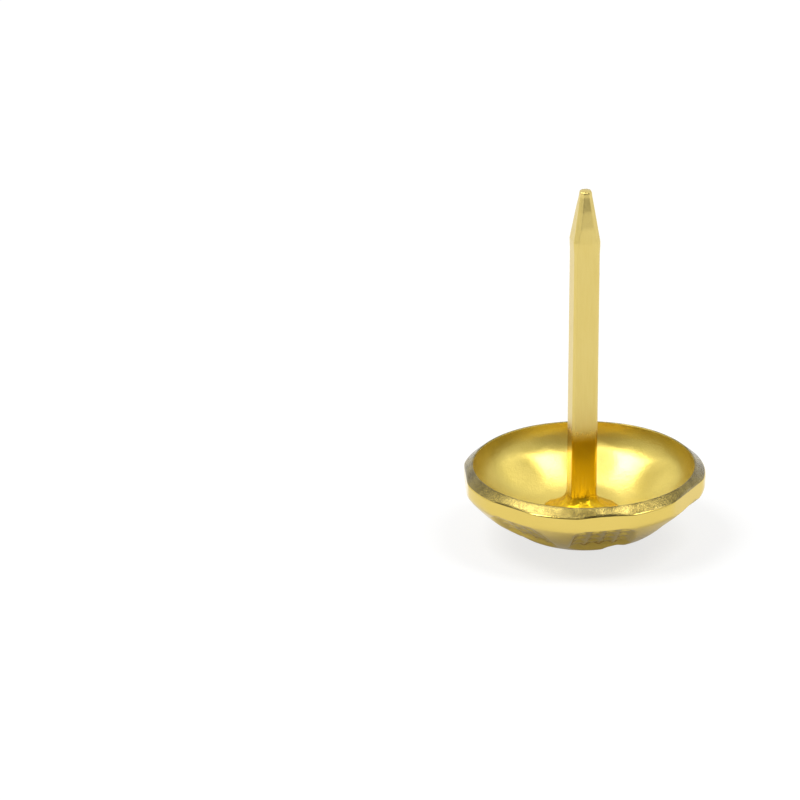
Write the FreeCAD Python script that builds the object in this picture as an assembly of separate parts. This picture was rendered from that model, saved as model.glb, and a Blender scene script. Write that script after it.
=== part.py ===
import FreeCAD, Part
import math
import os

# Upholstery tack with a hammered head: a cap pressed from sheet, and a square nail welded inside it.
# Millimetres. The origin is the lowest point of the crown, on the nail's axis, with +Z towards the point.

# Overall sizes: the head's height is to the rim's inner corner, before its edge is broken
overall_length = 17.0
head_diameter = 11.0
head_height = 3.65

# The pressed sheet: a shallow dome with a small flat on its crown, a short upright wall, and a cut rim
# that slopes down outwards
sheet = 0.5
crown_flat_radius = 0.6
wall_height = 0.6
rim_slope = 40.0
knuckle_radius = 0.6
bowl_knuckle_radius = 0.45
rim_bevel = 0.12

# Hammered dents: a square punch face with its corners turned round, driven in square to the dome
dent_depth = 0.32
dent_floor = 2.5
dent_round = 3.0
dent_draft = 50.0
punch_standoff = 0.5

# The soft swelling that each dent leaves inside the bowl
bulge_height = 0.22
bulge_radius = 8.0

# Waffle grid on the punch face: blunt pyramids, which leave pits with thin ridges between
waffle_pitch = 0.66
waffle_ridge = 0.09
waffle_depth = 0.16
waffle_tip = 0.08

# Inner ring of dents: distance from the axis, then each dent's direction and the turn of its grid
inner_ring_radius = 2.02
inner_dents = [(80.4, 6.0), (-166.0, 10.0), (-48.5, 6.0)]

# Outer ring: the same, and how far in each dent pulls the wall beside it, as a share of wall_pull
outer_ring_radius = 4.4
wall_pull = 0.1
outer_dents = [
    (-79.3, -2.0, 1.1),
    (-26.7, -9.0, 2.3),
    (32.0, -13.0, 0.5),
    (85.0, -3.0, 0.5),
    (136.1, -7.0, 0.6),
    (183.9, 13.0, 1.4),
    (230.9, 5.0, 1.1),
]

# Square nail: drawn wire with slightly bevelled corners
wire_side = 1.18
wire_bevel = 0.12
nail_turn = 12.5

# It was welded a little out of square: its lean, and the height at which it crosses the head's axis
nail_lean = 0.56
lean_pivot = 12.5

# Its foot, upset against the bowl by the weld: heights are above the bowl's pole
foot_radius = 1.75
foot_height = 1.9
foot_edge_height = 0.85
foot_hollow = 0.14
foot_bevel = 0.12

# Its point, pinched off from four sides
point_length = 2.4
point_bulge = 0.06
point_bulge_length = 0.5
point_bevel = 0.17
tip_side = 0.52
tip_round = 0.3

# Sizes that follow
head_radius = head_diameter / 2
rim_rise = sheet * math.tan(math.radians(rim_slope))
dome_rise = head_height - wall_height - rim_rise
dome_centre = (head_radius ** 2 + dome_rise ** 2 - crown_flat_radius ** 2) / (2 * dome_rise)
dome_radius = math.hypot(dome_centre, crown_flat_radius)
bowl_radius = dome_radius - sheet
bowl_rim_radius = head_radius - sheet
wall_top = dome_rise + wall_height

UP = FreeCAD.Vector(0, 0, 1)
CENTRE = FreeCAD.Vector(0, 0, 0)


def on_section(radius, height):
    """A point of a revolved section, in the XZ plane."""
    return FreeCAD.Vector(radius, 0, height)


def line(start, end):
    return Part.LineSegment(start, end).toShape()


def arc(start, middle, end):
    return Part.Arc(start, middle, end).toShape()


def revolve(edges):
    """A closed section in the XZ plane, turned about the nail's axis."""
    return Part.Face(Part.Wire(edges)).revolve(CENTRE, UP, 360)


def on_sphere(radius, distance):
    """A point of the sphere about the dome's centre, at this distance from the axis."""
    return on_section(distance, dome_centre - math.sqrt(radius ** 2 - distance ** 2))


def along(start, end, distance):
    """The point at this distance from the start of a straight line."""
    return start + (end - start).normalize() * distance


def knuckle(ball_radius, wall_radius, radius):
    """The rounding between a ball about the dome's centre and an upright wall, as three points."""
    inset = wall_radius - radius
    drop = math.sqrt((ball_radius - radius) ** 2 - inset ** 2)
    turn = math.atan2(drop, inset)
    centre = on_section(inset, dome_centre - drop)
    def point(angle):
        return centre + on_section(math.cos(angle), -math.sin(angle)) * radius
    return point(turn), point(turn / 2), point(0)


def make_blank_cap():
    """The pressed cap before hammering, turned from its section."""
    flat_edge = on_sphere(dome_radius, crown_flat_radius)
    outer_knuckle = knuckle(dome_radius, head_radius, knuckle_radius)
    outer_corner = on_section(head_radius, wall_top)
    inner_corner = on_section(bowl_rim_radius, head_height)
    bowl_knuckle = knuckle(bowl_radius, bowl_rim_radius, bowl_knuckle_radius)
    bowl_pole = on_sphere(bowl_radius, 0)
    bevelled_rim = Part.makePolygon([
        outer_knuckle[2],
        along(outer_corner, outer_knuckle[2], rim_bevel / 2),
        along(outer_corner, inner_corner, rim_bevel / 2),
        along(inner_corner, outer_corner, rim_bevel / 2),
        along(inner_corner, bowl_knuckle[2], rim_bevel / 2),
        bowl_knuckle[2],
    ])
    return revolve([
        line(CENTRE, flat_edge),
        arc(flat_edge, on_sphere(dome_radius, outer_knuckle[0].x / 2), outer_knuckle[0]),
        arc(*outer_knuckle),
        *bevelled_rim.Edges,
        arc(*bowl_knuckle),
        arc(bowl_knuckle[0], on_sphere(bowl_radius, bowl_knuckle[0].x / 2), bowl_pole),
        line(bowl_pole, CENTRE),
    ])


def square(x, y, half, height):
    """Corners of a level square."""
    corners = [(-half, -half), (half, -half), (half, half), (-half, half)]
    return [FreeCAD.Vector(x + dx, y + dy, height) for dx, dy in corners]


def flat_sided(sections):
    """A solid with flat sides between level sections that have the same number of corners."""
    def flat(points):
        return Part.Face(Part.makePolygon(points + points[:1]))
    faces = [flat(sections[0]), flat(sections[-1])]
    for low, high in zip(sections, sections[1:]):
        for i in range(len(low)):
            faces.append(flat([low[i - 1], low[i], high[i], high[i - 1]]))
    return Part.Solid(Part.Shell(faces))


def punch_outline(low, high):
    """The punch between two heights: a square that tapers to its face, with its corners turned round."""
    def spread(height):
        return (dent_depth - height) * math.tan(math.radians(dent_draft))
    sides = flat_sided([square(0, 0, dent_floor / 2 + spread(z), z) for z in (low, high)])
    corners = Part.makeCone(dent_round / 2 + spread(low), dent_round / 2 + spread(high), high - low,
                            FreeCAD.Vector(0, 0, low))
    return sides.common(corners)


def make_punch():
    """The hammer punch, pointing along +Z, with z = 0 where it meets the dome."""
    tip_height = dent_depth + waffle_depth
    face = punch_outline(dent_depth, tip_height)
    count = math.ceil(dent_floor / waffle_pitch)
    places = [(i - (count - 1) / 2) * waffle_pitch for i in range(count)]
    base_half = (waffle_pitch - waffle_ridge) / 2
    teeth = []
    for x in places:
        for y in places:
            tooth = flat_sided([square(x, y, base_half, dent_depth), square(x, y, waffle_tip / 2, tip_height)])
            teeth.append(tooth.common(face))
    return punch_outline(-punch_standoff, dent_depth).fuse(teeth)


def dent_places():
    """Each dent as its distance from the axis, its direction and the turn of its grid."""
    inner = [(inner_ring_radius, direction, turn) for direction, turn in inner_dents]
    outer = [(outer_ring_radius, direction, turn) for direction, turn, pull in outer_dents]
    return inner + outer


def set_on_dome(shape, distance, direction, turn):
    """A copy of a shape made about +Z, set square to the dome with +Z pointing into the sheet."""
    placed = shape.copy()
    placed.rotate(CENTRE, UP, turn)
    tilt = math.degrees(math.asin(distance / dome_radius))
    placed.rotate(on_section(0, dome_radius), FreeCAD.Vector(0, -1, 0), tilt)
    placed.translate(on_section(0, dome_centre - dome_radius))
    placed.rotate(CENTRE, UP, direction)
    return placed


def ball(radius, height):
    """A ball on the axis, lying with its own poles to the sides."""
    sphere = Part.makeSphere(radius)
    sphere.rotate(CENTRE, FreeCAD.Vector(1, 0, 0), 90)
    sphere.translate(on_section(0, height))
    return sphere


def make_bulge():
    """The swelling behind a dent: a flat ball cap that stands up from the bowl and is rooted in the sheet."""
    swelling = ball(bulge_radius, sheet + bulge_height - bulge_radius)
    return swelling.common(ball(dome_radius - sheet / 2, dome_radius))


def make_head(cap):
    """The cap with its dents struck and its wall pulled in beside the outer ones."""
    head = cap
    for direction, turn, pull in outer_dents:
        flat = Part.makeBox(head_radius, head_diameter, overall_length)
        flat.translate(FreeCAD.Vector(head_radius - wall_pull * pull, -head_radius, 0))
        flat.rotate(CENTRE, UP, direction)
        head = head.cut(flat)
    punch = make_punch()
    for place in dent_places():
        head = head.cut(set_on_dome(punch, *place))
    return head


def wire_section(side, bevel, height):
    """Corners of a level square with bevelled corners."""
    half = side / 2
    flat = half - bevel
    corners = [
        (half, -flat), (half, flat), (flat, half), (-flat, half),
        (-half, flat), (-half, -flat), (-flat, -half), (flat, -half),
    ]
    return [FreeCAD.Vector(x, y, height) for x, y in corners]


def make_nail(bulges):
    """The nail: wire and point through level sections, and a turned foot cut to fit the bowl."""
    point_base = overall_length - point_length
    shank = flat_sided([
        wire_section(wire_side, wire_bevel, 0),
        wire_section(wire_side, wire_bevel, point_base - point_bulge_length),
        wire_section(wire_side + point_bulge, point_bevel, point_base),
        wire_section(tip_side, point_bevel, overall_length - tip_round),
        wire_section(tip_side * 0.8, point_bevel * 0.85, overall_length - tip_round * 0.35),
        wire_section(tip_side * 0.45, point_bevel * 0.45, overall_length),
    ])
    shank.rotate(CENTRE, UP, nail_turn)

    top = on_section(wire_side / 2 - wire_bevel, sheet + foot_height)
    corner = on_section(foot_radius, sheet + foot_edge_height)
    edge_side = corner - on_section(0, foot_bevel)
    edge_top = corner - on_section(foot_bevel, 0)
    chord = top - edge_top
    hollow = (top + edge_top) / 2 - on_section(chord.z, -chord.x).normalize() * foot_hollow
    foot = revolve([
        line(CENTRE, on_section(foot_radius, 0)),
        line(on_section(foot_radius, 0), edge_side),
        line(edge_side, edge_top),
        arc(edge_top, hollow, top),
        line(top, on_section(0, top.z)),
        line(on_section(0, top.z), CENTRE),
    ])
    nail = shank.fuse(foot)
    nail.rotate(on_section(0, lean_pivot), FreeCAD.Vector(0, 1, 0), nail_lean)
    below_bowl = Part.makeCylinder(head_radius, dome_rise + sheet, on_section(0, -sheet))
    below_bowl = below_bowl.cut(ball(bowl_radius, dome_centre))
    return nail.cut([below_bowl] + bulges)


os.makedirs("parts", exist_ok=True)
bulge = make_bulge()
bulges = [set_on_dome(bulge, *place) for place in dent_places()]
cap = make_blank_cap().fuse(bulges)
head = make_head(cap)
nail = make_nail(bulges)

for name, shape in (("head", head), ("nail", nail)):
    shape.exportStep("parts/" + name + ".step")
    box = shape.optimalBoundingBox(False)
    print(name, shape.ShapeType, len(shape.Solids), "valid", shape.isValid(), "volume", round(shape.Volume, 3))
    print("  x", round(box.XMin, 3), round(box.XMax, 3), "y", round(box.YMin, 3), round(box.YMax, 3),
          "z", round(box.ZMin, 3), round(box.ZMax, 3))
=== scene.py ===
import bmesh
import bpy
import math
import random
from mathutils import Matrix, Vector, noise


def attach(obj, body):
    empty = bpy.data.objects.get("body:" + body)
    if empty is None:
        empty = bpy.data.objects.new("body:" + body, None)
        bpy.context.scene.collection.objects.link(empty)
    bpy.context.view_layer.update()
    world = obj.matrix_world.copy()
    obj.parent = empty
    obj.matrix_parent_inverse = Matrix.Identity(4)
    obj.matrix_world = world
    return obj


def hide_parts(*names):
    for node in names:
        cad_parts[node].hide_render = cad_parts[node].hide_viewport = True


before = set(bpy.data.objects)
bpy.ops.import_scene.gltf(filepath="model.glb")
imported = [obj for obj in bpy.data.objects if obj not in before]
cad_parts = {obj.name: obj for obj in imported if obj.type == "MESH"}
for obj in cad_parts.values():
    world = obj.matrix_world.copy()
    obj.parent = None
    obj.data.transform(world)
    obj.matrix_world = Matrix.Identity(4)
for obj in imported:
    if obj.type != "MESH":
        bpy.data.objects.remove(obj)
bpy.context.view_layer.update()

# The head: a shallow cap pressed from 0.5 mm sheet metal, trimmed at the rim, then struck ten times
# with a waffle-faced punch and plated in a pale gold colour. Outside it is polished; the bowl is satin,
# and the sheared rim stays a little rough. The section is drawn in millimetres and turned.
random.seed(7)
sheet = 0.5
head_radius = 5.5
dome_radius = 7.0228
dome_height = 6.997
crown_flat = 0.6
wall_top = 3.23
knuckle_radius = 0.6
bowl_knuckle_radius = 1.75
rim_slope = math.radians(40)


def sweep(bm, end, centre, angle, steps):
    """Carries the end of a section round an arc in the XZ plane."""
    made = bmesh.ops.spin(bm, geom=[end], cent=centre, axis=(0, 1, 0), angle=angle, steps=steps)
    return [item for item in made["geom_last"] if isinstance(item, bmesh.types.BMVert)][0]


def draw(bm, end, target, steps):
    """Carries the end of a section straight on to a point."""
    step = (Vector(target) - end.co) / steps
    for _ in range(steps):
        start = end.co.copy()
        end = bmesh.ops.extrude_vert_indiv(bm, verts=[end])["verts"][0]
        end.co = start + step
    return end


def turn_section(bm, steps):
    """Turns the section a full circle about the Z axis, and closes its poles."""
    bmesh.ops.spin(bm, geom=bm.verts[:] + bm.edges[:], cent=(0, 0, 0), axis=(0, 0, 1),
                   angle=math.tau, steps=steps, use_merge=True)
    bmesh.ops.remove_doubles(bm, verts=bm.verts[:], dist=1e-5)
    bmesh.ops.recalc_face_normals(bm, faces=bm.faces[:])


def knuckle(ball_radius, wall_radius, radius):
    """Centre and angle below level of the rounding between the ball of the dome and an upright wall."""
    inset = wall_radius - radius
    drop = math.sqrt((ball_radius - radius) ** 2 - inset ** 2)
    return (inset, 0, dome_height - drop), math.atan2(drop, inset)


def soft_max(a, b, blend):
    """The larger of two heights, with the corner between them rounded."""
    overlap = max(blend - abs(a - b), 0)
    return max(a, b) + overlap * overlap / (4 * blend)


def soft_min(a, b, blend):
    return -soft_max(-a, -b, blend)


section = bmesh.new()
bowl_radius = dome_radius - sheet
bowl_wall = head_radius - sheet
dome_centre = (0, 0, dome_height)
outer_centre, outer_turn = knuckle(dome_radius, head_radius, knuckle_radius)
bowl_centre, bowl_turn = knuckle(bowl_radius, bowl_wall, bowl_knuckle_radius)
rim_round = 0.1
burr_round = 0.045
rim_cut = (math.cos(rim_slope), math.sin(rim_slope))
rim_reach = rim_round * math.tan(math.radians(25))
burr_reach = burr_round * math.tan(math.radians(65))
rim_corner = wall_top + sheet * math.tan(rim_slope)

end = section.verts.new((0, 0, 0))
end = draw(section, end, (crown_flat, 0, 0), 4)
end = sweep(section, end, dome_centre, outer_turn - math.pi / 2 + math.asin(crown_flat / dome_radius), 112)
end = sweep(section, end, outer_centre, -outer_turn, 8)
end = draw(section, end, (head_radius, 0, wall_top - rim_reach), 5)
end = sweep(section, end, (head_radius - rim_round, 0, wall_top - rim_reach), -math.radians(50), 3)
end = draw(section, end, (bowl_wall + burr_reach * rim_cut[0], 0, rim_corner - burr_reach * rim_cut[1]), 5)
end = sweep(section, end, (bowl_wall + burr_round, 0, rim_corner - burr_reach), -math.radians(130), 4)
end = draw(section, end, (bowl_wall, 0, bowl_centre[2]), 1)
end = sweep(section, end, bowl_centre, bowl_turn, 11)
end = sweep(section, end, dome_centre, math.pi / 2 - bowl_turn, 26)
turn_section(section, 540)
for face in section.faces:
    middle = face.calc_center_median()
    face.smooth = True
    if middle.z > wall_top and bowl_wall + 0.01 < math.hypot(middle.x, middle.y) < head_radius - 0.03:
        face.material_index = 2
    elif (middle - Vector(dome_centre)).length < bowl_radius + 0.02:
        face.material_index = 1

# Each blow of the punch: distance from the axis, direction, turn of the grid, and how far the blow pulled
# the wall beside it in. The punch face is a square with rounded corners that carries blunt pyramids.
inner_dents = [(2.02, 80.4, 6, 0), (2.02, -166, 10, 0), (2.02, -48.5, 6, 0)]
outer_dents = [
    (4.4, -79.3, -2, 0.11),
    (4.4, -26.7, -9, 0.23),
    (4.4, 32, -13, 0.05),
    (4.4, 85, -3, 0.05),
    (4.4, 136.1, -7, 0.06),
    (4.4, 183.9, 13, 0.14),
    (4.4, 230.9, 5, 0.11),
]
dent_depth = 0.32
dent_floor = 2.5
dent_round = 3.0
dent_draft = math.tan(math.radians(50))
waffle_pitch = 0.66
waffle_ridge = 0.09
waffle_depth = 0.16
waffle_tip = 0.08
bulge_height = 0.11
bulge_radius = 9.0
bulge_blend = 0.16
dent_edge_round = 0.12
dent_floor_round = 0.07
outer_pit_share = 0.65
pull_round = 0.08
rim_sway = 0.012


def dent_place(distance, direction, turn):
    """The frame of a dent: z = 0 on the blank dome, with +Z square into the sheet."""
    centre = Matrix.Translation(dome_centre)
    tilt = Matrix.Rotation(-math.asin(distance / dome_radius), 4, "Y")
    aim = Matrix.Rotation(math.radians(direction), 4, "Z")
    down = Matrix.Translation((0, 0, -dome_radius))
    grid_turn = Matrix.Rotation(math.radians(turn), 4, "Z")
    return aim @ centre @ tilt @ down @ grid_turn


def struck_depth(u, v, pits, rock):
    """How deep the punch went at a place of its face: a flat floor, sloping sides and pyramid pits."""
    outside = max(max(abs(u), abs(v)) - dent_floor / 2, math.hypot(u, v) - dent_round / 2)
    side = dent_depth - outside / dent_draft
    column = min(max(math.floor(u / waffle_pitch), -2), 1)
    row = min(max(math.floor(v / waffle_pitch), -2), 1)
    du = abs(u / waffle_pitch - column - 0.5) * waffle_pitch
    dv = abs(v / waffle_pitch - row - 0.5) * waffle_pitch
    half = (waffle_pitch - waffle_ridge) / 2
    pit = (half - soft_max(du, dv, 0.05)) / (half - waffle_tip / 2)
    floor = dent_depth + rock[0] * u + rock[1] * v
    floor += waffle_depth * pits[column + 2][row + 2] * min(soft_max(pit, 0, 0.12), 1)
    return soft_min(floor, side, dent_floor_round)


blows = []
for distance, direction, turn, pull in inner_dents + outer_dents:
    place = dent_place(distance, direction, turn)
    share = outer_pit_share if pull else 1.0
    pits = [[share * random.uniform(0.75, 1.0) for _ in range(4)] for _ in range(4)]
    rock = (random.uniform(-0.015, 0.015), random.uniform(-0.015, 0.015))
    blows.append((place, place.inverted(), pits, rock))


def swell(point):
    """Where the punch's blow raised the bowl: soft swellings behind the dents."""
    for place, back, pits, rock in blows:
        local = back @ point
        across = local.x ** 2 + local.y ** 2
        if across < 9 and local.z < 3:
            top = sheet + bulge_height - bulge_radius + math.sqrt(bulge_radius ** 2 - across)
            local.z = soft_max(local.z, top, bulge_blend)
            point = place @ local
    return point


# The depth of each dent is kept for the shader, which paints the deeper parts darker: painted shade in the
# hollows.
depth_layer = section.verts.layers.float.new("dent_depth")
for vert in section.verts:
    point = vert.co.copy()
    from_centre = (point - Vector(dome_centre)).length
    radius = math.hypot(point.x, point.y)
    on_wall = radius > head_radius - 1e-4
    outer_side = point.z < wall_top + 1e-4 and (on_wall or from_centre > dome_radius - 0.3)
    if outer_side:
        for place, back, pits, rock in blows:
            local = back @ point
            if local.z < 2 and math.hypot(local.x, local.y) < 2.4:
                struck = struck_depth(local.x, local.y, pits, rock)
                if struck > local.z - dent_edge_round:
                    vert[depth_layer] = max(vert[depth_layer], min(struck - local.z, 0.6))
                    local.z = soft_max(local.z, struck, dent_edge_round)
                    point = place @ local
    elif from_centre < bowl_radius + 0.02:
        point = swell(point)
    if radius > head_radius - 0.75 and (outer_side or point.z > 3.0) and radius > bowl_wall + 0.02:
        for distance, direction, turn, pull in outer_dents:
            aim = Vector((math.cos(math.radians(direction)), math.sin(math.radians(direction)), 0))
            reach = point.dot(aim)
            point -= aim * max(reach - soft_min(reach, head_radius - pull, pull_round), 0)
    if point.z > 2.5:
        point.z += rim_sway * noise.noise(point * 0.35)
    vert.co = point


class Field:
    """A shader value: arithmetic on it adds Math nodes, and node() adds any other kind."""

    def __init__(self, tree, socket):
        self.tree = tree
        self.socket = socket

    def node(self, kind, inputs=(), output=0, **settings):
        made = self.tree.nodes.new("ShaderNode" + kind)
        for name, value in settings.items():
            setattr(made, name, value)
        for name, value in dict(inputs).items():
            if isinstance(value, Field):
                self.tree.links.new(value.socket, made.inputs[name])
            else:
                made.inputs[name].default_value = value
        return Field(self.tree, made.outputs[output])

    def math(self, operation, *values):
        return self.node("Math", dict(enumerate(values)), operation=operation)

    def __add__(self, other):
        return self.math("ADD", self, other)

    def __sub__(self, other):
        return self.math("SUBTRACT", self, other)

    def __rsub__(self, other):
        return self.math("SUBTRACT", other, self)

    def __mul__(self, other):
        return self.math("MULTIPLY", self, other)

    def __truediv__(self, other):
        return self.math("DIVIDE", self, other)

    __radd__ = __add__
    __rmul__ = __mul__

    def ramp(self, *stops):
        """A colour that follows the value through (place, colour) stops."""
        made = self.tree.nodes.new("ShaderNodeValToRGB")
        self.tree.links.new(self.socket, made.inputs[0])
        steps = made.color_ramp.elements
        while len(steps) < len(stops):
            steps.new(1)
        for step, (place, colour) in zip(steps, stops):
            step.position = place
            step.color = (*colour, 1)
        return Field(self.tree, made.outputs[0])


def new_finish(name, metallic=1.0):
    """A metal finish: its shader, and the piece's own coordinates in millimetres."""
    material = bpy.data.materials.new(name)
    material.use_nodes = True
    tree = material.node_tree
    shader = tree.nodes["Principled BSDF"]
    shader.inputs["Metallic"].default_value = metallic
    coordinates = tree.nodes.new("ShaderNodeTexCoord")
    place = Field(tree, coordinates.outputs["Object"])
    place = place.node("Mapping", {"Vector": place, "Scale": (1000, 1000, 1000)})
    return material, shader, place


def feed(shader, **fields):
    """Joins fields to the shader's inputs."""
    for name, field in fields.items():
        field.tree.links.new(field.socket, shader.inputs[name.replace("_", " ")])


def grain(place, size, detail=2.0, roughness=0.5, stretch=(1, 1, 1)):
    """Smooth noise with features of this size in millimetres."""
    scaled = place.node("Mapping", {"Vector": place, "Scale": tuple(s / size for s in stretch)})
    return place.node("TexNoise", {"Vector": scaled, "Scale": 1.0, "Detail": detail, "Roughness": roughness})


def relief(place, height, distance, strength=1.0):
    """A bump normal from a height field, its full height given in millimetres."""
    return place.node("Bump", {"Height": height, "Distance": distance / 1000, "Strength": strength})


polished, shader, place = new_finish("polished_plating")
cloudy = grain(place, 1.4, 3.0)
fine = grain(place, 0.09, 3.0, 0.6)
# The polished plating's colour darkens with the dent depth: painted shade in the struck hollows. The cloudy
# noise is the plating's own uneven tone.
depth = place.node("Attribute", attribute_name="dent_depth", output=2)
tone = depth * 1.1 + (cloudy - 0.5) * 0.35 + 0.15
feed(shader, Base_Color=tone.ramp(
    (0.0, (0.70, 0.53, 0.135)),
    (0.35, (0.66, 0.50, 0.120)),
    (0.75, (0.50, 0.37, 0.070)),
))
feed(shader, Roughness=0.10 + depth * 0.12 + (cloudy - 0.5) * 0.10 + fine * 0.05)
feed(shader, Normal=relief(place, fine * 0.4 + cloudy, 0.004))

satin, shader, place = new_finish("satin_plating")
cloudy = grain(place, 1.8, 2.0)
fine = grain(place, 0.06, 4.0, 0.65)
specks = grain(place, 0.16, 1.0)
feed(shader, Base_Color=(cloudy + (fine - 0.5) * 0.5).ramp(
    (0.30, (0.60, 0.475, 0.110)),
    (0.70, (0.70, 0.560, 0.150)),
))
feed(shader, Roughness=0.27 + fine * 0.12 + (cloudy - 0.5) * 0.10)
feed(shader, Normal=relief(place, fine * 0.6 + specks * 0.5 + cloudy, 0.012))

sheared, shader, place = new_finish("sheared_rim")
cloudy = grain(place, 0.7, 3.0)
fine = grain(place, 0.07, 4.0, 0.7)
# The sheared rim is coloured very dark. Part of this is the dull sheared edge's own colour; the rest is
# painted shade standing in for the dark room overhead that it reflects between the softboxes.
feed(shader, Base_Color=(cloudy * 0.6 + fine * 0.4).ramp(
    (0.38, (0.115, 0.085, 0.020)),
    (0.62, (0.300, 0.235, 0.070)),
))
feed(shader, Roughness=0.13 + fine * 0.12)
feed(shader, Normal=relief(place, fine + cloudy * 0.4, 0.018))

bmesh.ops.scale(section, vec=(0.001, 0.001, 0.001), verts=section.verts[:])
mesh = bpy.data.meshes.new("hammered_head")
section.to_mesh(mesh)
section.free()
for finish in (polished, satin, sheared):
    mesh.materials.append(finish)
head = bpy.data.objects.new("hammered_head", mesh)
bpy.context.collection.objects.link(head)
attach(head, "root")
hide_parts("head")

# The nail: a length of drawn square wire, pinched off from four sides into a point, and resistance welded
# inside the crown. The weld upset its foot into a crinkled skirt. It leans and turns a little.
wire_side = 1.18
wire_bevel = 0.12
nail_turn = math.radians(12.5)
nail_lean = math.radians(0.56)
lean_pivot = 12.5
overall_length = 17.0
foot_radius = 1.75
foot_top = 2.4
foot_edge = 1.35
stations = [
    (0.0, 1.18, 1.18, 0.12),
    (14.05, 1.18, 1.18, 0.12),
    (14.38, 1.225, 1.20, 0.15),
    (14.6, 1.24, 1.21, 0.17),
    (15.3, 1.02, 1.12, 0.21),
    (16.1, 0.77, 0.88, 0.19),
    (16.72, 0.58, 0.58, 0.17),
    (16.90, 0.54, 0.53, 0.15),
    (17.0, 0.45, 0.43, 0.12),
]


def wire_reach(angle, height):
    """How far the wire's skin is from its middle in a direction: a square with bevelled corners."""
    for low, high in zip(stations, stations[1:]):
        if height <= high[0]:
            break
    share = min(max((height - low[0]) / (high[0] - low[0]), 0), 1)
    width, depth, bevel = (a + (b - a) * share for a, b in zip(low[1:], high[1:]))
    along, across = abs(math.cos(angle)) + 1e-6, abs(math.sin(angle)) + 1e-6
    flat = min(width / 2 / along, depth / 2 / across)
    corner = ((width + depth) / 2 - bevel) / (along + across)
    return soft_min(flat, corner, 0.025)


wire = bmesh.new()
end = wire.verts.new((0, 0, dome_height - bowl_radius))
end = sweep(wire, end, dome_centre, -math.asin(foot_radius / bowl_radius), 18)
skirt_foot = end.co.z
end = draw(wire, end, (foot_radius, 0, foot_edge), 14)
end = draw(wire, end, (0.6, 0, foot_top), 34)
end = draw(wire, end, (0.6, 0, 14.0), 90)
end = draw(wire, end, (0.6, 0, 14.7), 12)
end = draw(wire, end, (0.6, 0, 16.7), 26)
end = draw(wire, end, (0.6, 0, overall_length), 8)
end = draw(wire, end, (0, 0, overall_length), 6)
turn_section(wire, 176)

# The lower shank, down in and just above the bowl, is marked for the shader, which paints it a darker amber:
# painted reflection of the gold bowl and painted shade.
lower_shank_layer = wire.verts.layers.float.new("lower_shank")
for vert in wire.verts:
    point = vert.co.copy()
    radius = math.hypot(point.x, point.y)
    angle = math.atan2(point.y, point.x)
    facing = Vector((math.cos(angle), math.sin(angle), 0))
    under = (point - Vector(dome_centre)).length < bowl_radius + 1e-4 and point.z < skirt_foot + 1e-4
    if point.z > overall_length - 1e-4:
        reach = wire_reach(angle, overall_length) * radius / 0.6
        rounding = 0.05 * (radius / 0.6) ** 2
        point = facing * reach + Vector((0, 0, overall_length - rounding))
    elif under:
        point = swell(point)
    else:
        reach = wire_reach(angle, point.z)
        vert[lower_shank_layer] = min(max((5.75 - point.z) / 0.9, 0), 1)
        if point.z < foot_top + 0.4:
            rise = min(max((point.z - foot_edge) / (foot_top - foot_edge), 0), 1.4)
            ripple = noise.noise(facing * 2.2 + Vector((0, 0, 7)))
            hollow = 1 - (1 - min(rise, 1)) ** 1.75
            skirt = foot_radius * (1 + 0.05 * ripple) - (foot_radius - 0.47) * hollow
            skirt -= max(rise - 1, 0) * 1.2
            if point.z < foot_edge:
                skirt -= 0.05 * ((foot_edge - point.z) / 0.6) ** 2
            crinkle = noise.noise(point * 2.6) * 0.05 + noise.noise(point * 6.0) * 0.018
            lump = max(0.0, 1 - abs(point.z - foot_edge) / 0.55)
            skirt += crinkle * (0.35 + lump) * (1 if rise < 1 else 0)
            reach = soft_max(reach, skirt, 0.3)
            point.z += noise.noise(point * 3.0 + Vector((5, 0, 0))) * 0.03 * lump
        point = facing * reach + Vector((0, 0, point.z))
    if not under:
        turned = Matrix.Rotation(nail_turn, 4, "Z") @ point
        lean = Matrix.Translation((0, 0, lean_pivot)) @ Matrix.Rotation(nail_lean, 4, "Y")
        point = lean @ Matrix.Translation((0, 0, -lean_pivot)) @ turned
    vert.co = point

drawn, shader, place = new_finish("drawn_wire_plating")
streaks = grain(place, 0.06, 3.0, 0.6, (1, 1, 0.05))
cloudy = grain(place, 0.9, 3.0, 0.5, (1, 1, 0.4))
fine = grain(place, 0.05, 3.0, 0.6)
# The lower shank is painted a darker amber: painted reflection of the gold bowl and painted shade; the same
# mark lowers its roughness. The streaks and cloudy noise are the wire's own uneven tone.
lower_shank = place.node("Attribute", attribute_name="lower_shank", output=2)
tone = (streaks - 0.5) * 0.35 + (cloudy - 0.5) * 0.35 + 0.25 + lower_shank * 0.7
feed(shader, Base_Color=tone.ramp(
    (0.0, (0.70, 0.565, 0.205)),
    (0.4, (0.66, 0.515, 0.155)),
    (0.9, (0.53, 0.335, 0.012)),
))
rise = place.node("SeparateXYZ", {"Vector": place}, output=2)
skirt = rise.node("Clamp", {"Value": (2.35 - rise) * 3})
crinkles = grain(place, 0.28, 2.0, 0.55)
feed(shader, Roughness=0.26 + streaks * 0.14 - lower_shank * 0.14 + skirt * 0.22)
feed(shader, Normal=relief(place, (streaks + fine * 0.3 + cloudy * 0.6) * 0.12 + crinkles * skirt, 0.08))

bmesh.ops.recalc_face_normals(wire, faces=wire.faces[:])
for face in wire.faces:
    face.smooth = True
bmesh.ops.scale(wire, vec=(0.001, 0.001, 0.001), verts=wire.verts[:])
mesh = bpy.data.meshes.new("welded_nail")
wire.to_mesh(mesh)
wire.free()
mesh.materials.append(drawn)
nail = bpy.data.objects.new("welded_nail", mesh)
bpy.context.collection.objects.link(nail)
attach(nail, "root")
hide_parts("nail")

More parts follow.
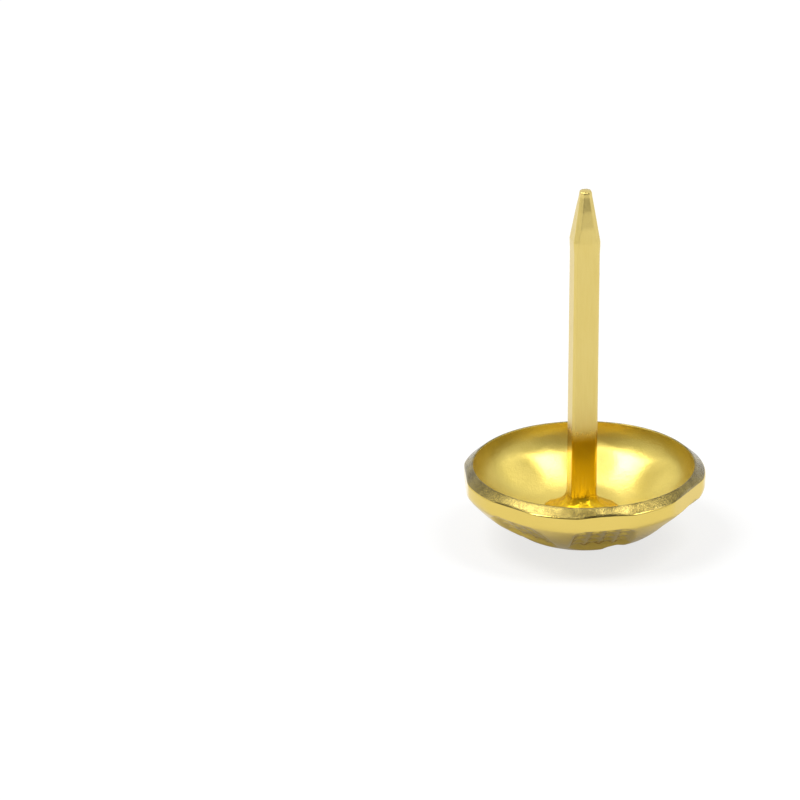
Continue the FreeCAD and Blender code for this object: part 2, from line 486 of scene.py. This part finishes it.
# The studio: a white table, two softboxes overhead, pale light from behind and a darker room in front.
# The camera stands in front, 22.8 degrees above the table, with a long lens.
table_mesh = bpy.data.meshes.new("table")
table = bmesh.new()
bmesh.ops.create_grid(table, x_segments=2, y_segments=2, size=3)
table.to_mesh(table_mesh)
table.free()
floor = bpy.data.objects.new("table", table_mesh)
bpy.context.collection.objects.link(floor)
white, shader, place = new_finish("white_table", 0.0)
shader.inputs["Base Color"].default_value = (0.66, 0.66, 0.66, 1)
shader.inputs["Roughness"].default_value = 0.9
shader.inputs["Specular IOR Level"].default_value = 0.0
tree = white.node_tree
path = tree.nodes.new("ShaderNodeLightPath")
seen = Field(tree, path.outputs["Is Camera Ray"]) * 0.74 + Field(tree, path.outputs["Is Glossy Ray"]) * 0.2
glow = tree.nodes.new("ShaderNodeEmission")
glow.inputs["Strength"].default_value = 1.0
blend = tree.nodes.new("ShaderNodeMixShader")
tree.links.new(seen.socket, blend.inputs[0])
tree.links.new(shader.outputs[0], blend.inputs[1])
tree.links.new(glow.outputs[0], blend.inputs[2])
tree.links.new(blend.outputs[0], tree.nodes["Material Output"].inputs["Surface"])
table_mesh.materials.append(white)

world = bpy.data.worlds.new("studio")
bpy.context.scene.world = world
world.use_nodes = True
tree = world.node_tree
coordinates = tree.nodes.new("ShaderNodeTexCoord")
split = tree.nodes.new("ShaderNodeSeparateXYZ")
tree.links.new(coordinates.outputs["Generated"], split.inputs[0])
behind = Field(tree, split.outputs["Y"])
aside = Field(tree, split.outputs["X"])
height = Field(tree, split.outputs["Z"])
overhead = (height - 0.72) * 4
ceiling = overhead.node("Clamp", {"Value": overhead})
room = (behind * 0.5 + 0.5 + aside * aside * 0.4 - ceiling * 0.25).ramp(
    (0.0, (0.28, 0.28, 0.28)),
    (0.33, (0.40, 0.40, 0.40)),
    (0.47, (0.82, 0.82, 0.82)),
    (0.80, (0.95, 0.95, 0.95)),
    (1.0, (1.0, 1.0, 1.0)),
)
path = tree.nodes.new("ShaderNodeLightPath")
to_camera = Field(tree, path.outputs["Is Camera Ray"])
clear = to_camera.math("MAXIMUM", to_camera, Field(tree, path.outputs["Is Transmission Ray"]))
backdrop = clear.node("MixRGB", {"Fac": clear, "Color1": room, "Color2": (1, 1, 1, 1)})
tree.links.new(backdrop.socket, tree.nodes["Background"].inputs["Color"])


def softbox(name, place, target, width, depth, power):
    """A soft panel light that faces a point."""
    light = bpy.data.lights.new(name, "AREA")
    light.shape = "RECTANGLE"
    light.size = width
    light.size_y = depth
    light.energy = power
    lamp = bpy.data.objects.new(name, light)
    bpy.context.collection.objects.link(lamp)
    lamp.location = place
    lamp.rotation_euler = (Vector(target) - Vector(place)).to_track_quat("-Z", "Y").to_euler()
    lamp.visible_camera = False


softbox("left_softbox", (-0.34, -0.08, 0.62), (0, 0, 0.005), 0.38, 0.32, 4.2)
softbox("right_softbox", (0.29, -0.08, 0.60), (0, 0, 0.005), 0.19, 0.32, 2.3)

camera_data = bpy.data.cameras.new("camera")
camera_data.lens = 1200
camera_data.sensor_width = 36
camera_data.clip_start = 0.01
camera_data.clip_end = 10
camera = bpy.data.objects.new("camera", camera_data)
bpy.context.collection.objects.link(camera)
elevation = math.radians(22.8)
picture_width = 800
pixels_per_metre = 22.1 * 1000
crown_across, crown_down = 583.7, 537.5
away = Vector((0, -math.cos(elevation), math.sin(elevation)))
upward = Vector((0, math.sin(elevation), math.cos(elevation)))
half_picture = picture_width / 2
middle = Vector(((half_picture - crown_across) / pixels_per_metre, 0, 0))
middle += upward * (crown_down - half_picture) / pixels_per_metre
distance = picture_width / pixels_per_metre * camera_data.lens / camera_data.sensor_width
camera.location = middle + away * distance
camera.rotation_euler = (-away).to_track_quat("-Z", "Y").to_euler()
bpy.context.scene.camera = camera
bpy.context.scene.view_settings.view_transform = "Standard"
